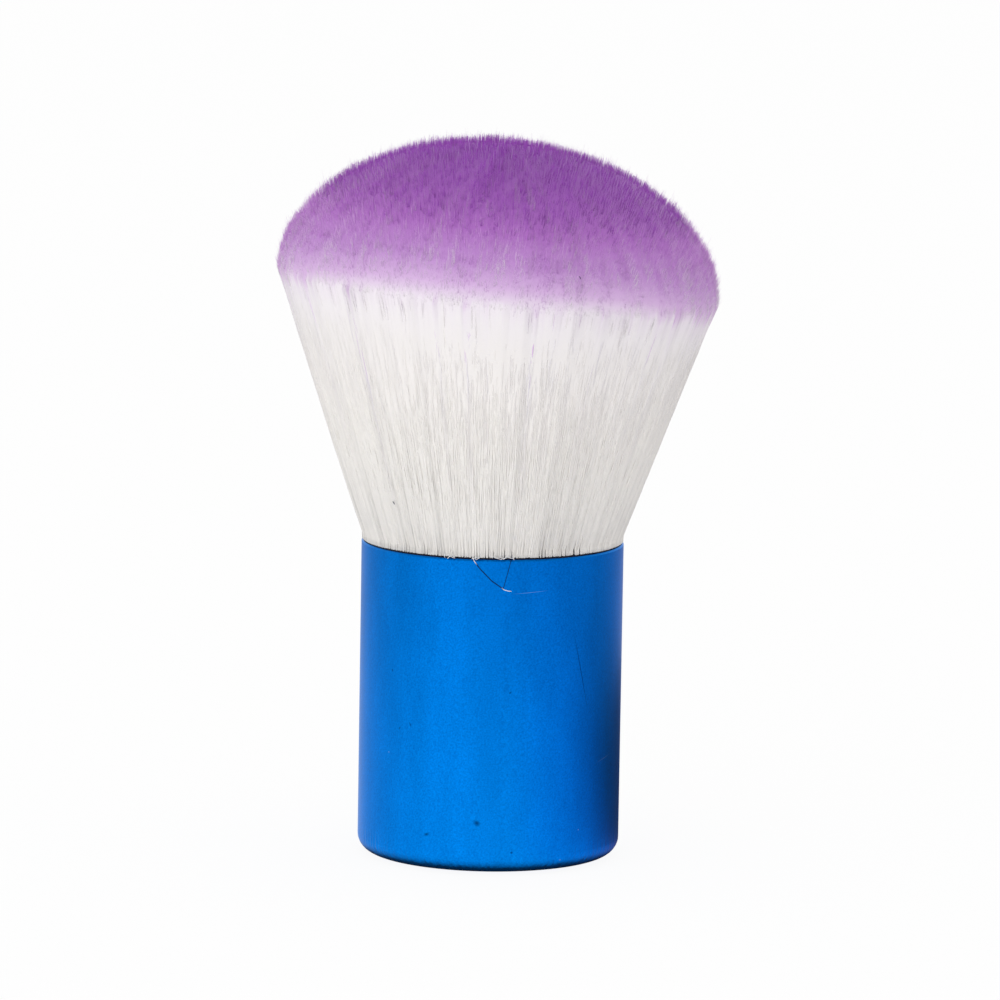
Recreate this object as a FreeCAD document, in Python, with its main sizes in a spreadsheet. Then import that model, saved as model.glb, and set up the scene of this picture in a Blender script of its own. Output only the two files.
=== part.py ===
import FreeCAD, Part
import math
import os
import Sketcher

# Kabuki makeup brush: a flared, domed tuft of fibres set in a drawn metal cup that is also its foot.
# Millimetres. The origin is the centre of the cup's underside and +Z runs up the cup's axis to the tuft.
# The tuft's dome leans towards +X, which is the right-hand side of the brush as it faces the viewer at -Y.

# Driving sizes: alias, value and meaning
SIZES = [
    ("handle_diameter", 25.0, "outside of the drawn cup"),
    ("handle_height", 30.0, "underside to mouth of the drawn cup"),
    ("shell_wall", 0.45, "sheet thickness of the drawn cup"),
    ("base_corner_radius", 1.6, "outside radius of the cup's base edge"),
    ("lip_bevel", 0.15, "bevel of the cup's outer mouth edge"),
    ("plug_clearance", 0.1, "radial room between core plug and shell"),
    ("plug_wall", 1.8, "skirt and top thickness of the core plug"),
    ("plug_hub_diameter", 6.0, "middle post of the core plug"),
    ("plug_rib_thickness", 1.2, "each radial rib of the core plug"),
    ("plug_rib_count", 6, "ribs round the core plug"),
    ("cup_clearance", 0.05, "radial room between tuft cup and shell"),
    ("cup_depth", 16.0, "shell mouth down to the tuft cup's underside"),
    ("cup_wall", 0.6, "side wall of the tuft cup"),
    ("cup_floor", 1.0, "floor of the tuft cup"),
    ("key_hole_diameter", 5.0, "hole in the cup floor that the resin locks into"),
    ("flange_thickness", 0.25, "edge of the tuft cup that shows above the shell"),
    ("flange_setback", 0.15, "how far that edge stays inside the shell's outside"),
    ("resin_depth", 3.0, "resin poured on the cup floor"),
    ("tuft_clearance", 0.05, "room between the fibre bundle and the tuft cup"),
    ("thread_diameter", 0.5, "binding thread"),
    ("thread_gap", 0.45, "open space between neighbouring turns"),
    ("thread_turns", 3, "turns of the binding"),
    ("thread_sides", 6, "sides of the thread's section"),
    ("thread_clearance", 0.05, "room around the thread in the bundle's waist"),
    ("binding_rise", 1.8, "resin surface up to the waist"),
    ("fan_setback", 0.05, "how far the fan starts inside the shell's outside"),
    ("fan_rise", 0.5, "height in which the fibres roll out over the flange"),
    ("tuft_width", 42.1, "width of the tuft at its shoulder"),
    ("shoulder_height", 24.5, "shell mouth up to the middle of the shoulder"),
    ("shoulder_shift", 0.05, "sideways set of the shoulder's middle"),
    ("dome_height", 14.0, "shoulder up to the crown, along the dome's axis"),
    ("dome_bands", 12, "straight bands that follow the dome's ellipse"),
    ("joint_setback", 0.1, "how far the root and the dome start inside the fan's edges"),
    ("lean_angle", 4.5, "degrees that the dome leans sideways"),
]

# Sizes worked out from the driving ones: alias and formula
DERIVED = [
    ("handle_radius", "=sizes.handle_diameter / 2"),
    ("bore_radius", "=handle_radius - sizes.shell_wall"),
    ("cup_underside", "=sizes.handle_height - sizes.cup_depth"),
    ("plug_radius", "=bore_radius - sizes.plug_clearance"),
    ("plug_bore_radius", "=plug_radius - sizes.plug_wall"),
    ("plug_rib_reach", "=plug_radius - sizes.plug_wall / 2"),
    ("plug_hub_radius", "=sizes.plug_hub_diameter / 2"),
    ("plug_ceiling", "=cup_underside - sizes.plug_wall"),
    ("bore_foot_radius", "=handle_radius - sizes.base_corner_radius"),
    ("bore_bevel_top", "=sizes.shell_wall + bore_radius - bore_foot_radius"),
    ("plug_foot_radius", "=bore_foot_radius - sizes.plug_clearance"),
    ("plug_bevel_top", "=sizes.shell_wall + plug_radius - plug_foot_radius"),
    ("plug_rib_bottom", "=sizes.shell_wall + sizes.base_corner_radius"),
    ("cup_radius", "=bore_radius - sizes.cup_clearance"),
    ("cup_bore_radius", "=cup_radius - sizes.cup_wall"),
    ("cup_floor_top", "=cup_underside + sizes.cup_floor"),
    ("key_hole_radius", "=sizes.key_hole_diameter / 2"),
    ("flange_radius", "=handle_radius - sizes.flange_setback"),
    ("flange_top", "=sizes.handle_height + sizes.flange_thickness"),
    ("root_radius", "=cup_bore_radius - sizes.tuft_clearance"),
    ("root_bottom", "=cup_floor_top + sizes.resin_depth"),
    ("waist_depth", "=sizes.thread_diameter + 2 * sizes.thread_clearance"),
    ("waist_radius", "=root_radius - waist_depth"),
    ("thread_pitch", "=sizes.thread_diameter + sizes.thread_gap"),
    ("thread_radius", "=waist_radius + waist_depth / 2"),
    ("waist_bottom", "=root_bottom + sizes.binding_rise"),
    ("waist_floor_bottom", "=waist_bottom + waist_depth"),
    ("thread_bottom", "=waist_floor_bottom + waist_depth / 2"),
    ("waist_floor_top", "=thread_bottom + sizes.thread_turns * thread_pitch + waist_depth / 2"),
    ("waist_top", "=waist_floor_top + waist_depth"),
    ("roll_bottom", "=flange_top + sizes.tuft_clearance"),
    ("fan_bottom", "=roll_bottom + sizes.fan_rise"),
    ("fan_radius", "=handle_radius - sizes.fan_setback"),
    ("roll_radius", "=fan_radius - sizes.joint_setback"),
    ("shoulder_radius", "=sizes.tuft_width / 2"),
    ("shoulder_middle", "=sizes.handle_height + sizes.shoulder_height"),
    ("dome_rim_radius", "=shoulder_radius - sizes.joint_setback"),
    ("dome_band_angle", "=90 deg / sizes.dome_bands"),
    # The fan is the round cone through the mouth's left and right points and those of the leaning shoulder
    ("brim_reach", "=shoulder_radius * cos(sizes.lean_angle)"),
    ("brim_dip", "=shoulder_radius * sin(sizes.lean_angle)"),
    ("fan_height", "=shoulder_middle - fan_bottom"),
    ("fan_left_share", "=(brim_reach - sizes.shoulder_shift - fan_radius) / (fan_height + brim_dip)"),
    ("fan_right_share", "=(brim_reach + sizes.shoulder_shift - fan_radius) / (fan_height - brim_dip)"),
    ("fan_half_angle", "=(atan(fan_right_share) + atan(fan_left_share)) / 2"),
    ("fan_lean_angle", "=(atan(fan_right_share) - atan(fan_left_share)) / 2"),
    ("fan_apex_depth", "=2 * fan_radius / (fan_left_share + fan_right_share)"),
    ("fan_apex_x", "=fan_left_share * fan_apex_depth - fan_radius"),
    ("fan_apex_z", "=fan_bottom - fan_apex_depth"),
    ("fan_blank_bottom", "=fan_apex_depth / 2"),
    ("fan_blank_top", "=shoulder_middle + 2 * brim_dip - fan_apex_z"),
]

FULL_TURN = 360
STEPS_PER_TURN = 2
GAP_SAMPLES_PER_TURN = 24
UP = FreeCAD.Vector(0, 0, 1)
# The axis about which a sketch tips towards +X, in the frame of the plane that carries it
TIP_AXIS = {"XY_Plane": FreeCAD.Vector(0, 1, 0), "XZ_Plane": FreeCAD.Vector(0, 0, -1)}


def add_sheet(doc, name, rows):
    """A sheet with one aliased cell for each row."""
    sheet = doc.addObject("Spreadsheet::Sheet", name)
    for number, row in enumerate(rows, 1):
        sheet.set(f"A{number}", row[0])
        sheet.set(f"B{number}", str(row[1]))
        sheet.setAlias(f"B{number}", row[0])
        if len(row) > 2:
            sheet.set(f"C{number}", row[2])
    return sheet


def bind(feature, expressions):
    for name, expression in expressions.items():
        feature.setExpression(name, expression)


def value(feature, expression):
    return float(feature.evalExpression(expression))


def new_body(doc, name):
    body = doc.addObject("PartDesign::Body", name)
    body.Label = name
    body.Placement = FreeCAD.Placement()
    return body


def new_sketch(body, name, role):
    sketch = body.newObject("Sketcher::SketchObject", name)
    plane = next(item for item in body.Origin.OriginFeatures if item.Role == role)
    sketch.AttachmentSupport = [(plane, "")]
    sketch.MapMode = "FlatFace"
    return sketch


def hold(sketch, constraint, name, expression):
    """Adds one named dimension and binds it."""
    number = sketch.addConstraint(constraint)
    sketch.renameConstraint(number, name)
    sketch.setExpression(f"Constraints.{name}", expression)


def outline(body, name, corners):
    """A closed outline in the XZ plane: corners are (radius, height) expressions, None on the axis."""
    sketch = new_sketch(body, name, "XZ_Plane")
    points = []
    for radius, height in corners:
        across = value(sketch, radius) if radius else 0
        points.append(FreeCAD.Vector(across, value(sketch, height), 0))
    for number, point in enumerate(points):
        sketch.addGeometry(Part.LineSegment(point, points[(number + 1) % len(points)]))
    for number, (radius, height) in enumerate(corners):
        before = (number - 1) % len(points)
        sketch.addConstraint(Sketcher.Constraint("Coincident", before, 2, number, 1))
        if radius:
            across = Sketcher.Constraint("DistanceX", -1, 1, number, 1, points[number].x)
            hold(sketch, across, f"radius_{number}", radius)
        else:
            sketch.addConstraint(Sketcher.Constraint("PointOnObject", number, 1, -2))
        up = Sketcher.Constraint("DistanceY", -1, 1, number, 1, points[number].y)
        hold(sketch, up, f"height_{number}", height)
    return sketch


def circle(body, name, radius):
    """A circle round the origin of the XY plane."""
    sketch = new_sketch(body, name, "XY_Plane")
    size = value(sketch, radius)
    sketch.addGeometry(Part.Circle(FreeCAD.Vector(), UP, size))
    sketch.addConstraint(Sketcher.Constraint("Coincident", 0, 3, -1, 1))
    hold(sketch, Sketcher.Constraint("Radius", 0, size), "radius", radius)
    return sketch


def turned(body, name, corners):
    """The solid that an outline sweeps round its own upright axis."""
    sketch = outline(body, f"{name}_outline", corners)
    solid = body.newObject("PartDesign::Revolution", name)
    solid.Profile = sketch
    solid.ReferenceAxis = (sketch, ["V_Axis"])
    solid.Angle = FULL_TURN
    return solid


def lean(sketch, across, height, angle):
    """Sets a sketch at a place in the XZ plane and tips it towards +X."""
    role = sketch.AttachmentSupport[0][0].Role
    up = "z" if role == "XY_Plane" else "y"
    tip = FreeCAD.Rotation(TIP_AXIS[role], value(sketch, angle))
    sketch.AttachmentOffset = FreeCAD.Placement(FreeCAD.Vector(), tip)
    bind(sketch, {
        "AttachmentOffset.Base.x": across,
        f"AttachmentOffset.Base.{up}": height,
        "AttachmentOffset.Rotation.Angle": angle,
    })


def cut_off(body, name, sketch, above):
    """Takes away all that lies on one side of a sketch's plane."""
    cut = body.newObject("PartDesign::Pocket", name)
    cut.Profile = sketch
    cut.Type = "ThroughAll"
    cut.Reversed = above


def outer_edge(shape, height):
    """The name of the widest round edge at a height."""
    found = []
    for number, edge in enumerate(shape.Edges, 1):
        if not edge.Degenerated and isinstance(edge.Curve, Part.Circle):
            offset = abs(edge.Curve.Center.z - height)
            found.append((offset, -edge.Curve.Radius, f"Edge{number}"))
    return min(found)[2]


def handle_shell(doc):
    """The drawn cup: a rounded blank, hollowed from its mouth, with a bevelled inside corner and lip."""
    body = new_body(doc, "handle_shell")
    blank = body.newObject("PartDesign::Pad", "blank")
    blank.Profile = circle(body, "blank_circle", "derived.handle_radius")
    bind(blank, {"Length": "sizes.handle_height"})
    doc.recompute()
    base_edge = body.newObject("PartDesign::Fillet", "base_edge")
    base_edge.Base = (blank, [outer_edge(blank.Shape, 0)])
    bind(base_edge, {"Radius": "sizes.base_corner_radius"})
    doc.recompute()
    hollow = body.newObject("PartDesign::Groove", "hollow")
    hollow.Profile = outline(body, "hollow_outline", [
        (None, "sizes.shell_wall"),
        ("derived.bore_foot_radius", "sizes.shell_wall"),
        ("derived.bore_radius", "derived.bore_bevel_top"),
        ("derived.bore_radius", "sizes.handle_height"),
        (None, "sizes.handle_height"),
    ])
    hollow.ReferenceAxis = (hollow.Profile[0], ["V_Axis"])
    hollow.Angle = FULL_TURN
    doc.recompute()
    lip = body.newObject("PartDesign::Chamfer", "lip")
    lip.Base = (hollow, [outer_edge(hollow.Shape, value(hollow, "sizes.handle_height"))])
    bind(lip, {"Size": "sizes.lip_bevel"})
    return body


def core_plug(doc):
    """The moulded core: a bevelled skirt and a top round a middle post, stiffened by radial ribs."""
    body = new_body(doc, "core_plug")
    turned(body, "plug_skirt", [
        (None, "sizes.shell_wall"),
        ("derived.plug_hub_radius", "sizes.shell_wall"),
        ("derived.plug_hub_radius", "derived.plug_ceiling"),
        ("derived.plug_bore_radius", "derived.plug_ceiling"),
        ("derived.plug_bore_radius", "sizes.shell_wall"),
        ("derived.plug_foot_radius", "sizes.shell_wall"),
        ("derived.plug_radius", "derived.plug_bevel_top"),
        ("derived.plug_radius", "derived.cup_underside"),
        (None, "derived.cup_underside"),
    ])
    rib = body.newObject("PartDesign::Pad", "rib")
    rib.Profile = outline(body, "rib_outline", [
        (None, "derived.plug_rib_bottom"),
        ("derived.plug_rib_reach", "derived.plug_rib_bottom"),
        ("derived.plug_rib_reach", "derived.plug_ceiling"),
        (None, "derived.plug_ceiling"),
    ])
    rib.SideType = "Symmetric"
    bind(rib, {"Length": "sizes.plug_rib_thickness"})
    ribs = body.newObject("PartDesign::PolarPattern", "ribs")
    ribs.Originals = [rib]
    ribs.Axis = (rib.Profile[0], ["V_Axis"])
    ribs.Angle = FULL_TURN
    bind(ribs, {"Occurrences": "sizes.plug_rib_count"})
    body.Tip = ribs
    return body


def tuft_cup(doc):
    """The moulded cup for the tuft: a floor with a locking hole, a wall and a thin flange on the shell."""
    body = new_body(doc, "tuft_cup")
    turned(body, "cup_wall_and_flange", [
        ("derived.key_hole_radius", "derived.cup_underside"),
        ("derived.cup_radius", "derived.cup_underside"),
        ("derived.cup_radius", "sizes.handle_height"),
        ("derived.flange_radius", "sizes.handle_height"),
        ("derived.flange_radius", "derived.flange_top"),
        ("derived.cup_bore_radius", "derived.flange_top"),
        ("derived.cup_bore_radius", "derived.cup_floor_top"),
        ("derived.key_hole_radius", "derived.cup_floor_top"),
    ])
    return body


def root_resin(doc):
    """The set resin: a disc on the cup floor with a stem through the floor's hole."""
    body = new_body(doc, "root_resin")
    turned(body, "resin_disc", [
        (None, "derived.cup_underside"),
        ("derived.key_hole_radius", "derived.cup_underside"),
        ("derived.key_hole_radius", "derived.cup_floor_top"),
        ("derived.cup_bore_radius", "derived.cup_floor_top"),
        ("derived.cup_bore_radius", "derived.root_bottom"),
        (None, "derived.root_bottom"),
    ])
    return body


def arc_from(start, direction, end):
    """The round arc that leaves start along direction and ends at end."""
    chord = end - start
    along = FreeCAD.Vector(chord).normalize()
    aside = direction - along * direction.dot(along)
    turn = direction.getAngle(along)
    rise = chord.Length / 2 * math.tan(turn / 2)
    middle = (start + end) / 2 + aside.normalize() * rise
    return Part.Arc(start, middle, end).toShape()


def two_arcs(start, start_direction, end, end_direction):
    """Two arcs that join two points of a helix and keep its direction at both."""
    chord = end - start
    both = start_direction + end_direction
    spread = 2 * (1 - start_direction.dot(end_direction))
    along = chord.dot(both)
    reach = (math.sqrt(along ** 2 + spread * chord.dot(chord)) - along) / spread
    joint = (start + end + (start_direction - end_direction) * reach) / 2
    first = arc_from(start, start_direction, joint)
    second_back = arc_from(end, -end_direction, joint)
    middle = second_back.valueAt((second_back.FirstParameter + second_back.LastParameter) / 2)
    return [first, Part.Arc(joint, middle, end).toShape()]


def helix_point(radius, pitch, bottom, turn):
    angle = 2 * math.pi * turn
    return FreeCAD.Vector(radius * math.cos(angle), radius * math.sin(angle), bottom + pitch * turn)


def helix_direction(radius, pitch, turn):
    angle = 2 * math.pi * turn
    around = 2 * math.pi * radius
    return FreeCAD.Vector(-around * math.sin(angle), around * math.cos(angle), pitch).normalize()


def least_gap(radius, pitch, bottom, turns, diameter):
    """The least open space between one turn and another, measured on points of the thread."""
    count = turns * GAP_SAMPLES_PER_TURN
    points = [helix_point(radius, pitch, bottom, step / GAP_SAMPLES_PER_TURN) for step in range(count + 1)]
    half_turn = GAP_SAMPLES_PER_TURN // 2
    spans = []
    for number, point in enumerate(points):
        spans += [point.distanceToPoint(other) for other in points[number + half_turn:]]
    return min(spans) - diameter


def binding_thread(doc, sizes, derived):
    """The thread round the bundle's waist: one unbroken run on a helix, with straight tucked ends."""
    turns = int(sizes.thread_turns)
    sides = int(sizes.thread_sides)
    diameter = sizes.thread_diameter
    helix = (derived.thread_radius, derived.thread_pitch)
    bottom = derived.thread_bottom
    stations = [step / STEPS_PER_TURN for step in range(turns * STEPS_PER_TURN + 1)]
    places = [helix_point(*helix, bottom, turn) for turn in stations]
    headings = [helix_direction(*helix, turn) for turn in stations]
    tail = places[0] - headings[0] * diameter
    tip = places[-1] + headings[-1] * diameter
    edges = [Part.LineSegment(tail, places[0]).toShape()]
    for number in range(len(places) - 1):
        edges += two_arcs(places[number], headings[number], places[number + 1], headings[number + 1])
    edges.append(Part.LineSegment(places[-1], tip).toShape())
    path = Part.Wire(edges)
    round_edge = Part.Circle(tail, headings[0], diameter / 2)
    corners = [round_edge.value(2 * math.pi * side / sides) for side in range(sides + 1)]
    section = Part.makePolygon(corners)
    thread = doc.addObject("Part::Feature", "binding_thread")
    thread.Label = "binding_thread"
    thread.Shape = path.makePipeShell([section], True, False)
    thread.Placement = FreeCAD.Placement()
    swept = Part.Face(section).Area * path.Length
    print(f"thread volume {thread.Shape.Volume:.4f} of {swept:.4f}")
    print(f"thread least gap {least_gap(*helix, bottom, turns, diameter):.3f}")
    return thread


def bristle_tuft(doc):
    """The fibre bundle: a straight-sided fan, a leaning half-ellipse dome on it and a bound root below."""
    body = new_body(doc, "bristle_tuft")
    fan = turned(body, "fan", [
        (None, "derived.fan_blank_bottom"),
        ("derived.fan_blank_bottom * tan(derived.fan_half_angle)", "derived.fan_blank_bottom"),
        ("derived.fan_blank_top * tan(derived.fan_half_angle)", "derived.fan_blank_top"),
        (None, "derived.fan_blank_top"),
    ])
    lean(fan.Profile[0], "derived.fan_apex_x", "derived.fan_apex_z", "derived.fan_lean_angle")
    foot_plane = circle(body, "foot_plane", "sizes.tuft_width")
    lean(foot_plane, "0", "derived.fan_bottom", "0 deg")
    cut_off(body, "fan_foot", foot_plane, above=False)
    shoulder_plane = circle(body, "shoulder_plane", "sizes.tuft_width")
    lean(shoulder_plane, "sizes.shoulder_shift", "derived.shoulder_middle", "sizes.lean_angle * 1 deg")
    cut_off(body, "fan_shoulder", shoulder_plane, above=True)
    dome_corners = [(None, "-sizes.joint_setback"), ("derived.dome_rim_radius", "-sizes.joint_setback")]
    for band in range(1, int(value(body, "sizes.dome_bands"))):
        angle = f"({band} * derived.dome_band_angle)"
        dome_corners.append((f"derived.shoulder_radius * cos{angle}", f"sizes.dome_height * sin{angle}"))
    dome_corners.append((None, "sizes.dome_height"))
    dome = turned(body, "dome", dome_corners)
    lean(dome.Profile[0], "sizes.shoulder_shift", "derived.shoulder_middle", "sizes.lean_angle * 1 deg")
    turned(body, "root", [
        (None, "derived.root_bottom"),
        ("derived.root_radius", "derived.root_bottom"),
        ("derived.root_radius", "derived.waist_bottom"),
        ("derived.waist_radius", "derived.waist_floor_bottom"),
        ("derived.waist_radius", "derived.waist_floor_top"),
        ("derived.root_radius", "derived.waist_top"),
        ("derived.root_radius", "derived.roll_bottom"),
        ("derived.roll_radius", "derived.fan_bottom"),
        (None, "derived.fan_bottom"),
    ])
    return body


def check(doc, pieces):
    """Stops before anything is written if a feature failed or a piece is not one sound solid."""
    for item in doc.Objects:
        if "Invalid" in item.State or "Error" in item.State:
            raise RuntimeError(f"{item.Name} failed: {item.State}")
    for piece in pieces:
        shape = piece.Shape
        if shape.isNull() or not shape.isValid() or len(shape.Solids) != 1:
            raise RuntimeError(f"{piece.Label} is not one sound solid")
        print(f"{piece.Label}: {shape.Volume:.2f} mm3, {len(shape.Faces)} faces")


def main():
    doc = FreeCAD.newDocument("kabuki_brush")
    sizes = add_sheet(doc, "sizes", SIZES)
    derived = add_sheet(doc, "derived", DERIVED)
    doc.recompute()
    pieces = [
        handle_shell(doc),
        core_plug(doc),
        tuft_cup(doc),
        root_resin(doc),
        binding_thread(doc, sizes, derived),
        bristle_tuft(doc),
    ]
    doc.recompute()
    check(doc, pieces)
    os.makedirs("parts", exist_ok=True)
    for piece in pieces:
        piece.Shape.exportStep(f"parts/{piece.Label}.step")


main()
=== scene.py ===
import math
import bpy
import numpy as np
from mathutils import Matrix, Vector
from mathutils.kdtree import KDTree

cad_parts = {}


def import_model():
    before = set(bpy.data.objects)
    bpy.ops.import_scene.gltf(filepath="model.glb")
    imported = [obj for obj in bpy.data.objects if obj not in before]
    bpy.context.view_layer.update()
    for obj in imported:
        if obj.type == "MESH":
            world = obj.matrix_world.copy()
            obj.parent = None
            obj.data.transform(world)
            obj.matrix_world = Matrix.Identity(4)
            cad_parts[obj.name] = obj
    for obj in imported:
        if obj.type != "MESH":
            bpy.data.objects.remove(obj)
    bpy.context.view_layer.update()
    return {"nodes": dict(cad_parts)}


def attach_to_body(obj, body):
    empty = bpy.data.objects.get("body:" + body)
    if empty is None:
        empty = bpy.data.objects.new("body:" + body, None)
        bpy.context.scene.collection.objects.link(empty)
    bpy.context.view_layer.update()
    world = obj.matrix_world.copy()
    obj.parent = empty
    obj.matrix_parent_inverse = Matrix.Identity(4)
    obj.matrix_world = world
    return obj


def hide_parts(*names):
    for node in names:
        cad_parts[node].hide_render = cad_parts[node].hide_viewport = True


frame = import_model()

# Kabuki makeup brush. Sizes are in millimetres in the CAD frame and become metres in the meshes.
MM = 0.001
RANDOM = np.random.default_rng(11)
FULL_TURN = 2 * math.pi

# Form of the tuft, before its lean
MOUTH_HEIGHT = 30.0
HANDLE_RADIUS = 12.5
FAN_BOTTOM = 30.8
FAN_RADIUS = 12.45
SHOULDER_HEIGHT = 54.5
SHOULDER_RADIUS = 21.05
SHOULDER_SHIFT = 0.05
FAN_SLOPE = (SHOULDER_RADIUS - FAN_RADIUS) / (SHOULDER_HEIGHT - FAN_BOTTOM)
DOME_HEIGHT = 14.0
LEAN = math.radians(4.5)

# Fibres
STRAND_SIDES = 3
STRAND_RADIUS = 0.048
STRAND_TIP_SHARE = 0.12
STRAND_STEEP = 0.7
TAPER_LENGTH = 3.5
PIECE_STRANDS = {"side": 6800, "root": 2500, "crown": 13000, "skirt": 13000}

# The strand coordinate: how far up the dye bath a point of a fibre stood
DYE_TILT = math.tan(math.radians(5.0))
DYE_BEND = 2.6
DYE_BEND_POWER = 4
DYE_RISE = 1.4
LEVEL_LOW = 28.0
LEVEL_HIGH = 74.0
LEVEL_LIMITS = (0.002, 0.998)


def fan_radius(height):
    return FAN_RADIUS + (height - FAN_BOTTOM) * FAN_SLOPE


def tip_height(share):
    """Height at which a straight fibre at this share of the fan's radius meets the dome."""
    start = FAN_RADIUS - FAN_BOTTOM * FAN_SLOPE
    wide = (share / SHOULDER_RADIUS) ** 2
    tall = 1 / DOME_HEIGHT ** 2
    square = wide * FAN_SLOPE ** 2 + tall
    linear = 2 * wide * start * FAN_SLOPE - 2 * SHOULDER_HEIGHT * tall
    constant = wide * start ** 2 + SHOULDER_HEIGHT ** 2 * tall - 1
    inside = np.maximum(linear ** 2 - 4 * square * constant, 0)
    return (np.sqrt(inside) - linear) / (2 * square)


def leaned(points):
    """Bends upright tuft points towards +X: evenly up the fan, then rigidly above the shoulder."""
    x, y, z = points[..., 0], points[..., 1], points[..., 2]
    share = np.clip((z - FAN_BOTTOM) / (SHOULDER_HEIGHT - FAN_BOTTOM), 0, 1)
    angle = LEAN * share
    above = np.maximum(z - SHOULDER_HEIGHT, 0)
    below = np.minimum(z, SHOULDER_HEIGHT)
    moved_x = SHOULDER_SHIFT * share + x * np.cos(angle) + above * np.sin(angle)
    moved_z = below - x * np.sin(angle) + above * np.cos(angle)
    return np.stack([moved_x, y, moved_z], axis=-1)


def level_share(height):
    """A height on the dye scale as a share of the scale."""
    return (height - LEVEL_LOW) / (LEVEL_HIGH - LEVEL_LOW)


def dye_level(points, shift):
    across = points[..., 0]
    bend = DYE_BEND * (across / SHOULDER_RADIUS) ** DYE_BEND_POWER
    return np.clip(level_share(points[..., 2] + across * DYE_TILT + bend + DYE_RISE + shift), *LEVEL_LIMITS)


def mesh_object(name, vertices, faces, uv=None):
    """A smooth mesh from arrays of corners; faces is a list of index arrays, one for each face size."""
    mesh = bpy.data.meshes.new(name)
    mesh.vertices.add(len(vertices))
    mesh.vertices.foreach_set("co", (vertices * MM).astype(np.float32).ravel())
    loops = np.concatenate([part.ravel() for part in faces]).astype(np.int32)
    sizes = np.concatenate([np.full(len(part), part.shape[1]) for part in faces])
    starts = np.concatenate([[0], np.cumsum(sizes)[:-1]]).astype(np.int32)
    mesh.loops.add(len(loops))
    mesh.loops.foreach_set("vertex_index", loops)
    mesh.polygons.add(len(sizes))
    mesh.polygons.foreach_set("loop_start", starts)
    mesh.polygons.foreach_set("use_smooth", np.ones(len(sizes), dtype=bool))
    if uv is not None:
        layer = mesh.uv_layers.new(name="OFBake")
        layer.data.foreach_set("uv", uv[loops].astype(np.float32).ravel())
    mesh.update(calc_edges=True)
    mesh.validate()
    piece = bpy.data.objects.new(name, mesh)
    bpy.context.scene.collection.objects.link(piece)
    return piece


def strand_object(name, lines, radii, tint, level):
    """Closed three-sided strands along lines of (strand, ring) points."""
    count, rings = radii.shape
    along = np.gradient(lines, axis=1)
    along /= np.linalg.norm(along, axis=2, keepdims=True)
    steady = np.where(np.abs(along[..., :1]) < STRAND_STEEP, [1.0, 0.0, 0.0], [0.0, 0.0, 1.0])
    aside = np.cross(along, steady)
    aside /= np.linalg.norm(aside, axis=2, keepdims=True)
    across = np.cross(along, aside)
    corners = []
    for side in range(STRAND_SIDES):
        angle = FULL_TURN * side / STRAND_SIDES
        corners.append(lines + radii[..., None] * (math.cos(angle) * aside + math.sin(angle) * across))
    vertices = np.stack(corners, axis=2).reshape(-1, 3)
    index = np.arange(len(vertices)).reshape(count, rings, STRAND_SIDES)
    low, high = index[:, :-1], index[:, 1:]
    quads = np.stack([low, np.roll(low, -1, axis=2), np.roll(high, -1, axis=2), high], axis=-1).reshape(-1, 4)
    caps = np.concatenate([index[:, 0, ::-1], index[:, -1]])
    u = np.broadcast_to(tint[:, None], (count, rings))
    uv = np.repeat(np.stack([u, level], axis=-1).reshape(-1, 2), STRAND_SIDES, axis=0)
    return mesh_object(name, vertices, [quads, caps], uv)


def nearest(points, sites):
    tree = KDTree(len(sites))
    for number, site in enumerate(sites):
        tree.insert((site[0], site[1], 0), number)
    tree.balance()
    return np.array([tree.find((point[0], point[1], 0))[1] for point in points])


def disc_points(count, reach):
    share = np.sqrt(RANDOM.random(count)) * reach
    angle = RANDOM.random(count) * FULL_TURN
    return np.stack([share * np.cos(angle), share * np.sin(angle)], axis=1)


def taper(distance):
    """Share of the full radius at a distance below the tip."""
    grown = np.clip(distance / TAPER_LENGTH, 0, 1)
    return STRAND_TIP_SHARE + (1 - STRAND_TIP_SHARE) * np.sqrt(grown)


def lock_places(points, stretch):
    """Places in which locks are round: the disc itself, or, for long radial locks, radius and stretched angle."""
    if not stretch:
        return points
    angle = np.arctan2(points[:, 0], -points[:, 1])
    return np.stack([np.linalg.norm(points, axis=1), angle * stretch], axis=1)


class Locks:
    """Groups of fibres that lie together and share their length, dye and tint."""

    def __init__(self, count, pull, length, dye, tint, stretch=0):
        self.sites = disc_points(count, 1.0)
        self.stretch = stretch
        self.pull = pull
        self.length = RANDOM.normal(0, length, count)
        self.dye = RANDOM.normal(0, dye, count)
        self.tint = RANDOM.normal(0, tint, count)


# Count, pull on the tips, and spread of length, dye and tint; the last number makes locks long and radial
LOCKS = [
    Locks(300, 0.03, 0.03, 0.60, 0.08),
    Locks(1800, 0.06, 0.04, 0.30, 0.05),
    Locks(12000, 0.25, 0.04, 0.40, 0.08),
    Locks(500, 0.0, 0.11, 2.00, 0.16, 6.0),
    Locks(4000, 0.0, 0.05, 1.40, 0.15, 16.0),
]


OWN_LENGTH = 0.08
OWN_DYE = 0.30
OWN_TINT = 0.08
MEAN_TINT = 0.5
TINT_LIMITS = (0.02, 0.98)


def groomed(roots):
    """Tip places, length, dye and tint shifts of fibres that start at these places in the unit disc."""
    count = len(roots)
    tips = roots.copy()
    length = RANDOM.normal(0, OWN_LENGTH, count)
    dye = RANDOM.normal(0, OWN_DYE, count)
    tint = RANDOM.normal(MEAN_TINT, OWN_TINT, count)
    for locks in LOCKS:
        found = nearest(lock_places(roots, locks.stretch), lock_places(locks.sites, locks.stretch))
        tips += (locks.sites[found] - roots) * locks.pull
        length += locks.length[found]
        dye += locks.dye[found]
        tint += locks.tint[found]
    return tips, length, dye, np.clip(tint, *TINT_LIMITS)


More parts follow.
